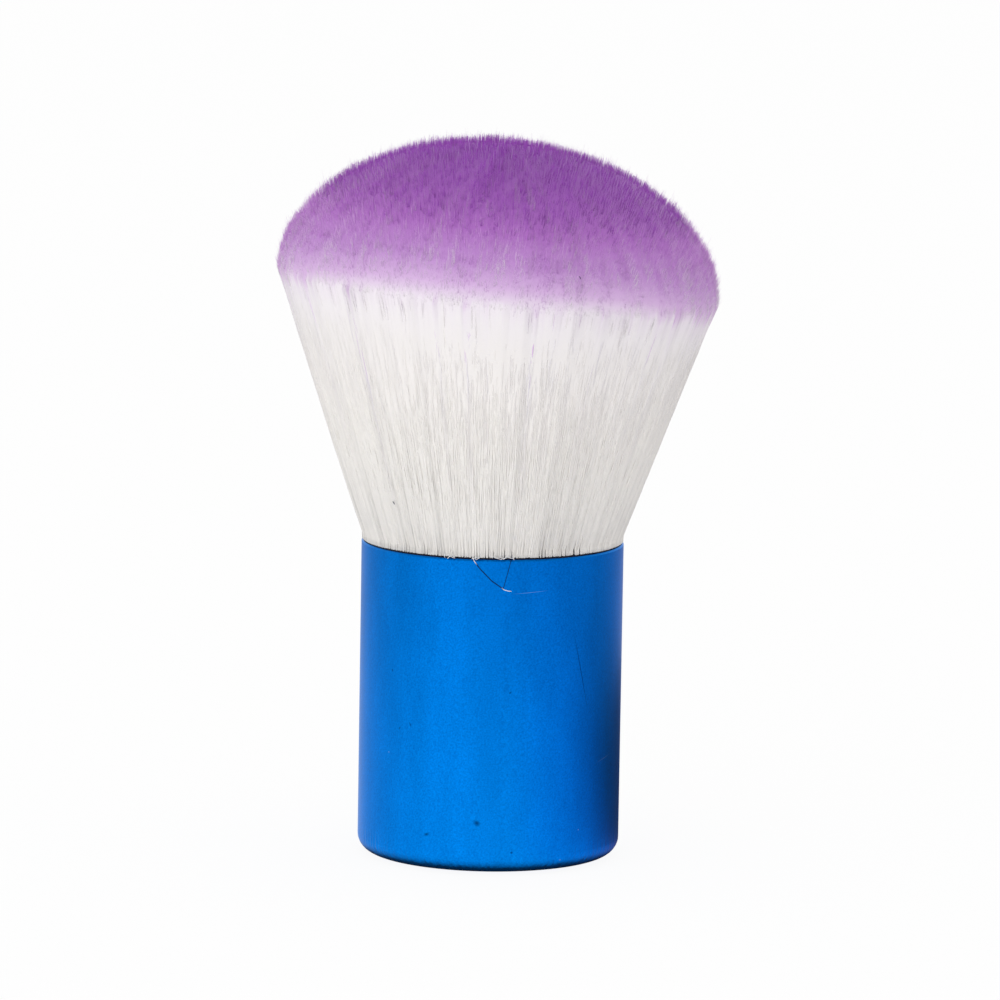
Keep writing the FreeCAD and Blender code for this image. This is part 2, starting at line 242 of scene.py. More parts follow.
def fibre_lines(roots, tips, heights, wander):
    """Points of fibres that run from their root places to their tip places up the flaring fan."""
    share = (heights - FAN_BOTTOM) / (heights[:, -1:] - FAN_BOTTOM)
    share = np.clip(share, 0, 1)[..., None] ** 2
    places = roots[:, None] + (tips - roots)[:, None] * share
    places = places * fan_radius(heights)[..., None] + wander * share
    return np.concatenate([places, heights[..., None]], axis=-1)


def split_pieces(kind, lines, radii, tint, level):
    made = []
    step = PIECE_STRANDS[kind]
    for number, first in enumerate(range(0, len(lines), step)):
        part = slice(first, first + step)
        made.append(strand_object(f"fibres_{kind}_{number}", lines[part], radii[part], tint[part], level[part]))
    return made


ARC_COUNT = 18000
ARC_LENGTH = (5.0, 11.0)
ARC_MIDDLES = (32.5, 52.0)
ARC_CROWDING = 1.15
ARC_STEPS = 4
ARC_SINK = 0.22
ARC_SLANT = 0.014
ARC_DEPTHS = [(30.0, -0.03), (38.0, 0.0), (43.0, 0.045), (48.0, 0.08), (52.0, 0.11)]
ARC_DEPTH_SPREAD = 0.08
ARC_WIDTHS = (0.8, 1.3)


def side_fibres():
    """Lengths of fibre that come to the face of the fan, run up it and dip back in."""
    count = ARC_COUNT
    steps = np.linspace(0, 1, ARC_STEPS + 1)
    low, high = ARC_MIDDLES
    middle = low + (high - low) * RANDOM.random((count, 1)) ** ARC_CROWDING
    heights = middle + RANDOM.uniform(*ARC_LENGTH, (count, 1)) * (steps - 0.5)
    heights = np.clip(heights, FAN_BOTTOM, tip_height(np.array(1.0)))
    angles = RANDOM.random((count, 1)) * FULL_TURN + RANDOM.normal(0, ARC_SLANT, (count, 1)) * (steps - 0.5)
    top = np.interp(middle, *np.array(ARC_DEPTHS).T) + RANDOM.random((count, 1)) * ARC_DEPTH_SPREAD
    reach = fan_radius(heights) - top - ARC_SINK * (2 * steps - 1) ** 2
    lines = leaned(np.stack([reach * np.cos(angles), reach * np.sin(angles), heights], axis=-1))
    faces = np.stack([np.cos(angles[:, 2]), np.sin(angles[:, 2])], axis=1)
    dye, tint = groomed(faces)[2:]
    radii = STRAND_RADIUS * RANDOM.uniform(*ARC_WIDTHS, (count, 1)) * np.ones(len(steps))
    return split_pieces("side", lines, radii, tint, dye_level(lines, dye[:, None]))


ROOT_COUNT = 5000
ROOT_TOPS = (35.0, 41.0)
ROOT_STEPS = 5
ROOT_LIPS = [(11.4, 29.4), (12.1, 30.30), (12.42, 30.26)]
ROOT_DEPTH = 0.14
ROOT_SINK = 0.3
ROOT_LIFTS = (-0.08, 0.12)
ROOT_WIDTHS = (0.8, 1.25)
BUNDLES = 300
BUNDLE_JITTER = 0.28
BUNDLE_PULLS = (0.1, 0.75)
BUNDLE_FADE = 2.0


def bundled(angles):
    """How far fibres at these angles are drawn sideways to the small bundles they leave the cup in."""
    middles = (np.arange(BUNDLES) + RANDOM.normal(0, BUNDLE_JITTER, BUNDLES)) / BUNDLES * FULL_TURN
    middles = np.sort(middles % FULL_TURN)
    wrapped = np.concatenate([[middles[-1] - FULL_TURN], middles, [middles[0] + FULL_TURN]])
    found = np.abs(angles[:, None] - wrapped[None]).argmin(axis=1)
    strength = RANDOM.uniform(*BUNDLE_PULLS, len(wrapped))
    return (wrapped[found] - angles) * strength[found]


def root_fibres():
    """The fibres as they roll out over the cup's edge, drawn into small bundles."""
    count = ROOT_COUNT
    angles = (np.arange(count) + RANDOM.random(count)) / count * FULL_TURN
    faces = np.stack([np.cos(angles), np.sin(angles)], axis=1)
    steps = np.linspace(0, 1, ROOT_STEPS + 1)
    heights = FAN_BOTTOM + (RANDOM.uniform(*ROOT_TOPS, (count, 1)) - FAN_BOTTOM) * steps
    reach = fan_radius(heights) - RANDOM.random((count, 1)) * ROOT_DEPTH - ROOT_SINK * steps ** 3
    lip_reach, lip_height = np.array(ROOT_LIPS).T
    lift = RANDOM.uniform(*ROOT_LIFTS, (count, 1))
    reach = np.concatenate([np.broadcast_to(lip_reach, (count, len(lip_reach))), reach], axis=1)
    heights = np.concatenate([lip_height + lift, heights], axis=1)
    fade = np.exp(-np.maximum(heights - MOUTH_HEIGHT, 0) / BUNDLE_FADE)
    turn = angles[:, None] + bundled(angles)[:, None] * fade
    lines = leaned(np.stack([reach * np.cos(turn), reach * np.sin(turn), heights], axis=-1))
    dye, tint = groomed(faces)[2:]
    radii = STRAND_RADIUS * RANDOM.uniform(*ROOT_WIDTHS, (count, 1)) * np.ones(lines.shape[1])
    return split_pieces("root", lines, radii, tint, dye_level(lines, dye[:, None]))


CROWN_COUNT = 46000
CROWN_EDGE_COUNT = 12000
CROWN_EDGE_FROM = 0.85
CROWN_LENGTH = (3.0, 5.0)
CROWN_STEPS = 2
CROWN_DROP = 0.05
CROWN_SINK = 0.03
CROWN_REACH = 0.998
CROWN_WANDER = 0.08
CROWN_WIDTHS = (0.8, 1.25)
SKIRT_FROM = 0.74
SKIRT_BLUR = 0.04
SKIRT_LENGTH = 0.08
SKIRT_SINK = 0.018
STRAY_SHARE = 0.35
STRAY_LENGTH = 0.15
STRAY_WIDTH = 0.30
STRAY_DYE = 4.0
SKIRT_STRAY_DYE = 1.0
SKIRT_DYE_LIMIT = 2.6
CROWN_DYE_SHARE = 1.5
# No tip on the dome is paler than this place on the dye scale, but for the outermost
PALEST_TIP = 57.8
PALEST_WITHIN = 0.97
# Inside the tuft the dye has soaked down a fibre, so it fades there at this share of its rate on the outer face
SOAKED_FADE = 0.15
SOAKED_WITHIN = 0.92


def crown_roots():
    """Root places over the whole disc, with more near its edge."""
    edge = disc_points(CROWN_EDGE_COUNT, 1.0)
    length = np.linalg.norm(edge, axis=1, keepdims=True)
    edge = edge / length * (CROWN_EDGE_FROM + (1 - CROWN_EDGE_FROM) * length ** 2)
    return np.concatenate([disc_points(CROWN_COUNT, 1.0), edge])


def crown_level(lines, reach, dye):
    """Dye levels along the crown's fibres, which fade fast only on the outer face."""
    fade = np.clip((reach - SOAKED_WITHIN) / (1 - SOAKED_WITHIN), SOAKED_FADE, 1)[:, None]
    soaked = lines.copy()
    soaked[..., 2] = lines[:, -1:, 2] + (lines[..., 2] - lines[:, -1:, 2]) * fade
    palest = level_share(PALEST_TIP) * (reach < PALEST_WITHIN)
    return np.maximum(dye_level(soaked, dye[:, None]), palest[:, None])


def crown_fibres():
    """The upper ends of the fibres inside the tuft, whose tips make the dome: its crown and the skirt round it."""
    roots = crown_roots()
    count = len(roots)
    tips, length, dye, tint = groomed(roots)
    reach = np.minimum(np.linalg.norm(tips, axis=1), CROWN_REACH)
    skirt = reach + RANDOM.normal(0, SKIRT_BLUR, count) > SKIRT_FROM
    length = length + skirt * RANDOM.normal(-SKIRT_LENGTH / 2, SKIRT_LENGTH, count)
    dye = np.where(skirt, np.clip(dye, -SKIRT_DYE_LIMIT, SKIRT_DYE_LIMIT), dye * CROWN_DYE_SHARE)
    stray = RANDOM.random(count) < STRAY_SHARE
    dye = dye - stray * np.where(skirt, SKIRT_STRAY_DYE, STRAY_DYE)
    tops = tip_height(reach) + length + stray * RANDOM.exponential(STRAY_LENGTH, count) - CROWN_DROP
    start = tops - RANDOM.uniform(*CROWN_LENGTH, count)
    steps = np.linspace(0, 1, CROWN_STEPS + 1)
    heights = start[:, None] + (tops - start)[:, None] * steps
    wander = RANDOM.normal(0, CROWN_WANDER, (count, 1, 2))
    lines = fibre_lines(roots, tips, heights, wander)
    sink = np.where(skirt, SKIRT_SINK, CROWN_SINK)[:, None]
    lines[..., :2] *= (1 - sink * (1 - steps) ** 2)[..., None]
    lines = leaned(lines)
    width = RANDOM.uniform(*CROWN_WIDTHS, count) * np.where(stray, STRAY_WIDTH, 1)
    radii = STRAND_RADIUS * taper((tops - start)[:, None] * (1 - steps)) * width[:, None]
    level = crown_level(lines, reach, dye)
    made = []
    for kind, part in (("crown", ~skirt), ("skirt", skirt)):
        made.append(split_pieces(kind, lines[part], radii[part], tint[part], level[part]))
    return made


# Stray fibres: two hooked over the front of the rim, loose ends beside them and two dark bits in the tuft. The hooked
# fibres are white; the dark navy along most of the first and all of the second is painted shade.
# Places are (across, distance from the axis, height); the last coordinate runs along each for its colour.
STRAY_STEPS = 16
HOOKED = [
    ([(-1.95, 12.40, 30.50), (-1.85, 12.50, 30.30), (-1.79, 12.56, 30.00), (-1.20, 12.55, 29.20),
      (0.00, 12.55, 28.00), (0.95, 12.55, 27.35), (1.25, 12.62, 27.14), (1.84, 12.56, 27.05)], (0.0, 1.0), 0.050),
    ([(1.85, 12.40, 30.50), (1.80, 12.50, 30.30), (1.74, 12.55, 29.90), (1.42, 12.55, 28.60),
      (1.05, 12.55, 27.20)], (0.3, 0.7), 0.030),
    ([(-9.42, 14.05, 35.10), (-9.34, 14.12, 35.00), (-9.26, 14.10, 34.86)], (0.45, 0.55), 0.040),
    ([(7.60, 20.95, 57.70), (7.66, 21.00, 57.60), (7.72, 21.03, 57.45)], (0.45, 0.55), 0.040),
]
RIM_END_COUNT = 12
RIM_END_ANGLES = (-22.0, 11.0)
RIM_END_REACH = 0.045
RIM_END_RADIUS = 0.034
RIM_END_START = (12.40, 30.40)
RIM_END_BEND = (12.50, 30.22)
RIM_END_BEND_SHARE = 0.3
RIM_END_OUT = 12.55
RIM_END_LOWS = (29.96, 30.16)
RIM_END_LEVEL = 0.98


def resampled(path, count):
    path = np.array(path)
    gone = np.concatenate([[0], np.cumsum(np.linalg.norm(np.diff(path, axis=0), axis=1))])
    wanted = np.linspace(0, gone[-1], count)
    return np.stack([np.interp(wanted, gone, path[:, axis]) for axis in range(3)], axis=1)


def stray_fibres():
    """Loose fibres that lie on the front of the handle and over its rim."""
    lines, levels, radii = [], [], []
    for path, (first, last), radius in HOOKED:
        x, reach, z = resampled(path, STRAY_STEPS).T
        lines.append(np.stack([x, -np.sqrt(reach ** 2 - x ** 2), z], axis=1))
        levels.append(np.linspace(first, last, STRAY_STEPS))
        radii.append(np.full(STRAY_STEPS, radius))
    for _ in range(RIM_END_COUNT):
        turn = math.radians(RANDOM.uniform(*RIM_END_ANGLES))
        drift = RANDOM.normal(0, RIM_END_REACH)
        low = RANDOM.uniform(*RIM_END_LOWS)
        ends = [(0, *RIM_END_START), (drift * RIM_END_BEND_SHARE, *RIM_END_BEND), (drift, RIM_END_OUT, low)]
        path = resampled(ends, STRAY_STEPS)
        side = turn + path[:, 0]
        lines.append(np.stack([path[:, 1] * np.sin(side), -path[:, 1] * np.cos(side), path[:, 2]], axis=1))
        levels.append(np.full(STRAY_STEPS, RIM_END_LEVEL))
        radii.append(np.full(STRAY_STEPS, RIM_END_RADIUS))
    return strand_object("stray_fibres", np.array(lines), np.array(radii), np.full(len(lines), MEAN_TINT), np.array(levels))


CORE_COLUMNS = 720
CORE_SIDE_DEPTH = 0.09
CORE_ROOT_DEPTH = 0.30
CORE_ROOT_FADE = 1.8
CORE_DOME_DEPTH = 0.55
CORE_DOME_FADE = math.radians(30)
CORE_DYE_SHARE = 0.15
CORE_SIDE_ROWS = 18
CORE_DOME_ROWS = 22
CORE_TINT = 0.45
CORE_FOOT = [(9.5, 28.6), (10.6, 29.6), (11.2, 30.2), (11.8, 30.5)]
CORE_SIDE_START = 30.9
CORE_DOME_END = math.radians(88)


def core_profile():
    profile = list(CORE_FOOT)
    brim = float(tip_height(np.array(1.0)))
    for height in np.linspace(CORE_SIDE_START, brim, CORE_SIDE_ROWS):
        depth = CORE_SIDE_DEPTH + CORE_ROOT_DEPTH * math.exp(-(height - CORE_SIDE_START) / CORE_ROOT_FADE)
        profile.append((fan_radius(height) - depth, height))
    for angle in np.linspace(0, CORE_DOME_END, CORE_DOME_ROWS + 1)[1:]:
        share = min(angle / CORE_DOME_FADE, 1)
        depth = CORE_SIDE_DEPTH + CORE_DOME_DEPTH * share * share * (3 - 2 * share)
        wide, tall = SHOULDER_RADIUS - depth, DOME_HEIGHT - depth
        profile.append((wide * math.cos(angle), SHOULDER_HEIGHT + tall * math.sin(angle)))
    return np.array(profile)


def core():
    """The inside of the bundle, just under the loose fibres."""
    profile = core_profile()
    rows = len(profile)
    turn = np.arange(CORE_COLUMNS) / CORE_COLUMNS * FULL_TURN
    x = profile[:, :1] * np.cos(turn)
    y = profile[:, :1] * np.sin(turn)
    z = np.broadcast_to(profile[:, 1:], x.shape)
    points = leaned(np.stack([x, y, z], axis=-1))
    places = np.stack([x, y], axis=-1) / fan_radius(z)[..., None]
    dye, tint = groomed(places.reshape(-1, 2))[2:]
    loose = (np.arange(rows) < rows - CORE_DOME_ROWS).repeat(CORE_COLUMNS)
    level = dye_level(points.reshape(-1, 3), dye * loose * CORE_DYE_SHARE)
    uv = np.stack([(tint - MEAN_TINT) * loose + CORE_TINT, level], axis=-1)
    index = np.arange(rows * CORE_COLUMNS).reshape(rows, CORE_COLUMNS)
    low, high = index[:-1], index[1:]
    quads = np.stack([low, np.roll(low, -1, axis=1), np.roll(high, -1, axis=1), high], axis=-1).reshape(-1, 4)
    caps = np.stack([index[0, ::-1], index[-1]])
    return mesh_object("fibres_core", points.reshape(-1, 3), [quads, caps], uv)


# Materials
def material(name):
    made = bpy.data.materials.new(name)
    made.use_nodes = True
    made.node_tree.nodes.clear()
    return made, made.node_tree


def node(tree, kind, links=None, values=None, **properties):
    """A node with its properties, socket values and links set."""
    made = tree.nodes.new(kind)
    for key, item in properties.items():
        setattr(made, key, item)
    for key, item in (values or {}).items():
        made.inputs[key].default_value = item
    for key, socket in (links or {}).items():
        tree.links.new(socket, made.inputs[key])
    return made


def ramp(tree, factor, stops, interpolation="LINEAR"):
    made = node(tree, "ShaderNodeValToRGB", {"Fac": factor})
    band = made.color_ramp
    band.interpolation = interpolation
    while len(band.elements) < len(stops):
        band.elements.new(0.5)
    for element, (place, colour) in zip(band.elements, stops):
        element.position = place
        element.color = (*colour, 1.0)
    return made.outputs["Color"]


def grey(level):
    return (level, level, level)


# Colour by height on the dye scale, in millimetres: the packed fibres as one mass, and each loose tip,
# which is paler because light passes through it. Both are darker towards the cup's mouth, below 34 to 40 mm,
# as painted shade there, and greyer from 40 to 54.5 mm, as painted shade on the upper sides; above that the change is
# dye.
PACKED_DYE_AND_SHADE_STOPS = [
    (30.0, (0.40, 0.39, 0.38)),
    (31.5, (0.67, 0.65, 0.63)),
    (34.0, (0.92, 0.89, 0.85)),
    (40.0, (0.94, 0.91, 0.87)),
    (47.0, (0.90, 0.865, 0.84)),
    (52.0, (0.88, 0.845, 0.835)),
    (54.5, (0.88, 0.84, 0.86)),
    (56.3, (0.86, 0.79, 0.865)),
    (58.0, (0.70, 0.47, 0.77)),
    (60.1, (0.56, 0.29, 0.67)),
    (63.0, (0.44, 0.155, 0.56)),
    (66.1, (0.34, 0.095, 0.47)),
    (69.0, (0.29, 0.085, 0.42)),
]
LOOSE_DYE_AND_SHADE_STOPS = [
    (30.0, (0.93, 0.90, 0.86)),
    (40.0, (0.985, 0.955, 0.915)),
    (47.0, (0.93, 0.895, 0.87)),
    (52.0, (0.885, 0.85, 0.84)),
    (54.5, (0.90, 0.865, 0.885)),
    (56.3, (0.91, 0.87, 0.92)),
    (58.0, (0.87, 0.70, 0.92)),
    (60.1, (0.80, 0.51, 0.89)),
    (63.0, (0.74, 0.37, 0.86)),
    (66.1, (0.67, 0.25, 0.82)),
    (69.0, (0.66, 0.235, 0.82)),
]
# How far a fibre's own tint shows, by height
TINT_STOPS = [(30.0, grey(0.7)), (36.0, grey(0.35)), (46.0, grey(0.15)), (54.0, grey(0.15)), (59.0, grey(0.6))]
TINT_SHADES = [(0.0, grey(0.62)), (0.5, grey(0.92)), (1.0, grey(1.0))]
TIP_TRANSLUCENCE = 0.65
FIBRE_ROUGHNESS = 0.5
FIBRE_SHINE = 0.3
STRAY_SHINE = 0.1


def mixed(tree, factor, first, second, blend="MIX"):
    made = node(tree, "ShaderNodeMix", data_type="RGBA", blend_type=blend)
    for socket, number in ((factor, 0), (first, 6), (second, 7)):
        tree.links.new(socket, made.inputs[number])
    return made.outputs[2]


def by_height(stops):
    return [(level_share(height), colour) for height, colour in stops]


def fibre_material(name, stops, translucence):
    made, tree = material(name)
    uv = node(tree, "ShaderNodeUVMap", uv_map="OFBake").outputs["UV"]
    split = node(tree, "ShaderNodeSeparateXYZ", {"Vector": uv})
    dyed = ramp(tree, split.outputs["Y"], by_height(stops))
    shown = ramp(tree, split.outputs["Y"], by_height(TINT_STOPS))
    shade = ramp(tree, split.outputs["X"], TINT_SHADES)
    colour = mixed(tree, shown, dyed, shade, "MULTIPLY")
    body = node(tree, "ShaderNodeBsdfPrincipled", {"Base Color": colour},
                {"Roughness": FIBRE_ROUGHNESS, "Specular IOR Level": FIBRE_SHINE})
    surface = body.outputs[0]
    if translucence:
        glow = node(tree, "ShaderNodeBsdfTranslucent", {"Color": colour})
        both = node(tree, "ShaderNodeMixShader", {1: surface, 2: glow.outputs[0]}, {"Fac": translucence})
        surface = both.outputs[0]
    node(tree, "ShaderNodeOutputMaterial", {"Surface": surface})
    return made


# Colour along a stray fibre: white ends and a dark navy middle, which on the fibres hooked over the rim is painted
# shade
STRAY_STOPS = [
    (0.0, (0.93, 0.92, 0.92)),
    (0.16, (0.90, 0.90, 0.92)),
    (0.22, (0.002, 0.008, 0.05)),
    (0.80, (0.002, 0.008, 0.05)),
    (0.86, (0.92, 0.94, 0.97)),
    (1.0, (0.95, 0.95, 0.96)),
]


def stray_material():
    made, tree = material("fibre_stray")
    uv = node(tree, "ShaderNodeUVMap", uv_map="OFBake").outputs["UV"]
    along = node(tree, "ShaderNodeSeparateXYZ", {"Vector": uv}).outputs["Y"]
    body = node(tree, "ShaderNodeBsdfPrincipled", {"Base Color": ramp(tree, along, STRAY_STOPS)},
                {"Roughness": FIBRE_ROUGHNESS, "Specular IOR Level": STRAY_SHINE})
    node(tree, "ShaderNodeOutputMaterial", {"Surface": body.outputs[0]})
    return made


EDGE_TINT = (0.64, 0.82, 1.0, 1.0)
METAL_SHADES = [(0.25, (0.0, 0.165, 0.65)), (0.75, (0.0, 0.262, 0.91))]
SMUDGE_SHADES = [(0.35, grey(0.90)), (0.65, grey(1.0))]
# The dark speck colour also serves as the painted shade along the lip
SPECK_AND_LIP_SHADE_DARK = [(0.0, (0.0, 0.04, 0.16)), (1.0, (0.0, 0.02, 0.10))]
SPECK_PALE = [(0.0, (0.20, 0.42, 0.80)), (1.0, (0.30, 0.50, 0.85))]
# Specks and a scratch: across on the front and height, half width and half length, and tilt in degrees
DARK_SPOTS = [
    (-9.26, 18.7, 0.10, 0.16, 0),
    (-7.50, 13.8, 0.09, 0.26, -25),
    (-8.50, 13.3, 0.09, 0.18, 20),
    (1.90, 17.4, 0.10, 0.20, 45),
    (-1.06, 4.9, 0.42, 0.34, 40),
    (-5.80, 3.5, 0.36, 0.20, -20),
    (2.25, 2.1, 0.16, 0.14, 0),
    (8.54, 19.0, 0.06, 4.7, -14.4),
]
PALE_SPOTS = [
    (-9.50, 10.8, 0.08, 0.08, 0),
    (6.90, 1.1, 0.10, 0.08, 0),
    (8.55, 3.8, 0.08, 0.08, 0),
    (3.70, 26.9, 1.9, 0.02, -4),
    (10.90, 10.2, 1.5, 0.035, -11),
]
SPOT_DEPTH = 2.0
SPOT_CORE = 0.2
SPOT_STRENGTH = 0.8


def spots(tree, place, listed):
    """A mask of spots on the handle's front."""
    mask = None
    for across, height, wide, tall, tilt in listed:
        turn = math.asin(across / HANDLE_RADIUS)
        centre = (across * MM, -HANDLE_RADIUS * math.cos(turn) * MM, height * MM)
        near = node(tree, "ShaderNodeMapping", {"Vector": place},
                    {"Location": centre, "Rotation": (0, math.radians(tilt), turn),
                     "Scale": (wide * MM, SPOT_DEPTH * MM, tall * MM)}, vector_type="TEXTURE")
        far = node(tree, "ShaderNodeVectorMath", {0: near.outputs[0]}, operation="LENGTH").outputs["Value"]
        spot = node(tree, "ShaderNodeMapRange", {"Value": far}, {1: SPOT_CORE, 2: 1.0, 3: SPOT_STRENGTH, 4: 0.0}).outputs[0]
        if mask is None:
            mask = spot
        else:
            mask = node(tree, "ShaderNodeMath", {0: mask, 1: spot}, operation="MAXIMUM").outputs[0]
    return mask


# Painted shade: between these heights the top of the lip darkens towards the dark speck colour, by this share
LIP_SHADE_FADE = (29.80, 29.90)
LIP_SHADE_SHARE = 0.3
SMUDGE_SCALE = (420.0, 420.0, 130.0)
SMUDGE_DETAIL = 3.0
WRINKLE_FADE = (0.6, 3.2)
WRINKLE_SCALE = (2600.0, 2600.0, 160.0)
WRINKLE_DETAIL = 1.0
WRINKLE_STRENGTH = 1.0
WRINKLE_DEPTH = 0.12
METAL_GRAIN_SCALE = 6000.0
METAL_GRAIN_DETAIL = 2.0
METAL_GRAIN_STRENGTH = 0.10
METAL_GRAIN_DEPTH = 0.04
METAL_ROUGHNESS = 0.3


def stretched_noise(tree, place, scale, detail):
    stretched = node(tree, "ShaderNodeMapping", {"Vector": place}, {"Scale": scale}).outputs[0]
    return node(tree, "ShaderNodeTexNoise", {"Vector": stretched}, {"Scale": 1.0, "Detail": detail}).outputs["Fac"]


def height_fade(tree, height, fade, low, high):
    """A value that goes from low to high between the two heights of the fade."""
    return node(tree, "ShaderNodeMapRange", {"Value": height},
                {1: fade[0] * MM, 2: fade[1] * MM, 3: low, 4: high}).outputs[0]


def metal_colour(tree, place, height, grain):
    """The anodised blue with painted shade along its lip, smudges, specks and scratches."""
    colour = ramp(tree, grain, METAL_SHADES)
    dark = ramp(tree, grain, SPECK_AND_LIP_SHADE_DARK)
    # Painted shade along the top of the lip
    colour = mixed(tree, height_fade(tree, height, LIP_SHADE_FADE, 0.0, LIP_SHADE_SHARE), colour, dark)
    cloud = stretched_noise(tree, place, SMUDGE_SCALE, SMUDGE_DETAIL)
    smudge = node(tree, "ShaderNodeMix", {6: colour, 7: ramp(tree, cloud, SMUDGE_SHADES)}, {0: 1.0},
                  data_type="RGBA", blend_type="MULTIPLY")
    colour = smudge.outputs[2]
    colour = mixed(tree, spots(tree, place, DARK_SPOTS), colour, dark)
    return mixed(tree, spots(tree, place, PALE_SPOTS), colour, ramp(tree, grain, SPECK_PALE))


def metal_normal(tree, place, height, grain):
    """The fine grain, and the wrinkles that drawing left round the base."""
    folds = stretched_noise(tree, place, WRINKLE_SCALE, WRINKLE_DETAIL)
    low = height_fade(tree, height, WRINKLE_FADE, WRINKLE_STRENGTH, 0.0)
    wrinkle = node(tree, "ShaderNodeBump", {"Height": folds, "Strength": low}, {"Distance": WRINKLE_DEPTH * MM})
    bump = node(tree, "ShaderNodeBump", {"Height": grain, "Normal": wrinkle.outputs[0]},
                {"Strength": METAL_GRAIN_STRENGTH, "Distance": METAL_GRAIN_DEPTH * MM})
    return bump.outputs[0]


def metal_material():
    made, tree = material("blue_anodised")
    place = node(tree, "ShaderNodeTexCoord").outputs["Object"]
    height = node(tree, "ShaderNodeSeparateXYZ", {"Vector": place}).outputs["Z"]
    grain = node(tree, "ShaderNodeTexNoise", {"Vector": place},
                 {"Scale": METAL_GRAIN_SCALE, "Detail": METAL_GRAIN_DETAIL}).outputs["Fac"]
    body = node(tree, "ShaderNodeBsdfPrincipled",
                {"Base Color": metal_colour(tree, place, height, grain),
                 "Normal": metal_normal(tree, place, height, grain)},
                {"Metallic": 1.0, "Roughness": METAL_ROUGHNESS, "Specular Tint": EDGE_TINT})
    node(tree, "ShaderNodeOutputMaterial", {"Surface": body.outputs[0]})
    return made


GRAIN_BAND = (0.3, 0.7)
GRAIN_DETAIL = 3.0
GRAIN_STRENGTH = 0.1
GRAIN_DEPTH = 0.05


def grained_material(name, scale, low, high, roughness, shine):
    """A plain moulded or cast surface with a fine uneven grain."""
    made, tree = material(name)
    place = node(tree, "ShaderNodeTexCoord").outputs["Object"]
    grain = node(tree, "ShaderNodeTexNoise", {"Vector": place}, {"Scale": scale, "Detail": GRAIN_DETAIL}).outputs["Fac"]
    colour = ramp(tree, grain, list(zip(GRAIN_BAND, (low, high))))
    bump = node(tree, "ShaderNodeBump", {"Height": grain}, {"Strength": GRAIN_STRENGTH, "Distance": GRAIN_DEPTH * MM})
    body = node(tree, "ShaderNodeBsdfPrincipled", {"Base Color": colour, "Normal": bump.outputs[0]},
                {"Roughness": roughness, "Specular IOR Level": shine})
    node(tree, "ShaderNodeOutputMaterial", {"Surface": body.outputs[0]})
    return made


GRAINED = {
    "tuft_cup": ("black_plastic", 2500.0, (0.003, 0.004, 0.010), (0.009, 0.011, 0.024), 0.8, 0.1),
    "core_plug": ("plug_plastic", 1800.0, (0.50, 0.50, 0.52), (0.60, 0.60, 0.61), 0.5, 0.4),
    "root_resin": ("amber_resin", 700.0, (0.60, 0.48, 0.26), (0.76, 0.66, 0.44), 0.25, 0.5),
    "binding_thread": ("thread_cotton", 5200.0, (0.72, 0.70, 0.64), (0.88, 0.86, 0.81), 0.85, 0.2),
}


def dress(piece, look):
    piece.data.materials.clear()
    piece.data.materials.append(look)


# Stage
FLOOR_SIZE = 8.0
FLOOR_DROP = 0.0002
AMBIENT = 0.87
WHITE = (1.0, 1.0, 1.0, 1.0)
KEY_PLACE = (-0.60, -0.96, 0.5)
KEY_TARGET = (0.0, 0.0, 0.04)
KEY_SIZE = 1.5
KEY_WATTS = 4.0


def ray_share(tree):
    """1 for rays that show the background itself, 0 for rays that carry light."""
    path = node(tree, "ShaderNodeLightPath").outputs
    first = node(tree, "ShaderNodeMath", {0: path["Is Camera Ray"], 1: path["Is Glossy Ray"]}, operation="MAXIMUM")
    both = node(tree, "ShaderNodeMath", {0: first.outputs[0], 1: path["Is Transmission Ray"]}, operation="MAXIMUM")
    return both.outputs[0]


def world():
    made = bpy.data.worlds.new("studio")
    made.use_nodes = True
    tree = made.node_tree
    tree.nodes.clear()
    shown = node(tree, "ShaderNodeBackground", values={"Color": WHITE, "Strength": 1.0})
    light = node(tree, "ShaderNodeBackground", values={"Color": WHITE, "Strength": AMBIENT})
    both = node(tree, "ShaderNodeMixShader", {"Fac": ray_share(tree), 1: light.outputs[0], 2: shown.outputs[0]})
    node(tree, "ShaderNodeOutputWorld", {"Surface": both.outputs[0]})
    bpy.context.scene.world = made


FLOOR_WHITE_SHARE = 0.92
FLOOR_COLOUR = (0.95, 0.95, 0.95, 1.0)


def floor():
    half = FLOOR_SIZE / 2 / MM
    drop = -FLOOR_DROP / MM
    corners = np.array([[-half, -half, drop], [half, -half, drop], [half, half, drop], [-half, half, drop]])
    piece = mesh_object("floor", corners, [np.array([[0, 1, 2, 3]])])
    made, tree = material("floor_white")
    matt = node(tree, "ShaderNodeBsdfDiffuse", values={"Color": FLOOR_COLOUR})
    white = node(tree, "ShaderNodeEmission", values={"Color": WHITE, "Strength": 1.0})
    share = node(tree, "ShaderNodeMath", {0: ray_share(tree)}, {1: FLOOR_WHITE_SHARE}, operation="MULTIPLY")
    top = node(tree, "ShaderNodeMixShader", {"Fac": share.outputs[0], 1: matt.outputs[0], 2: white.outputs[0]})
    clear = node(tree, "ShaderNodeBsdfTransparent")
    behind = node(tree, "ShaderNodeNewGeometry").outputs["Backfacing"]
    both = node(tree, "ShaderNodeMixShader", {"Fac": behind, 1: top.outputs[0], 2: clear.outputs[0]})
    node(tree, "ShaderNodeOutputMaterial", {"Surface": both.outputs[0]})
    dress(piece, made)


def lamp(name, place, target, size, watts):
    data = bpy.data.lights.new(name, "AREA")
    data.shape = "DISK"
    data.size = size
    data.energy = watts
    made = bpy.data.objects.new(name, data)
    made.location = place
    made.rotation_euler = (Vector(target) - Vector(place)).to_track_quat("-Z", "Y").to_euler()
    made.visible_camera = False
    bpy.context.scene.collection.objects.link(made)
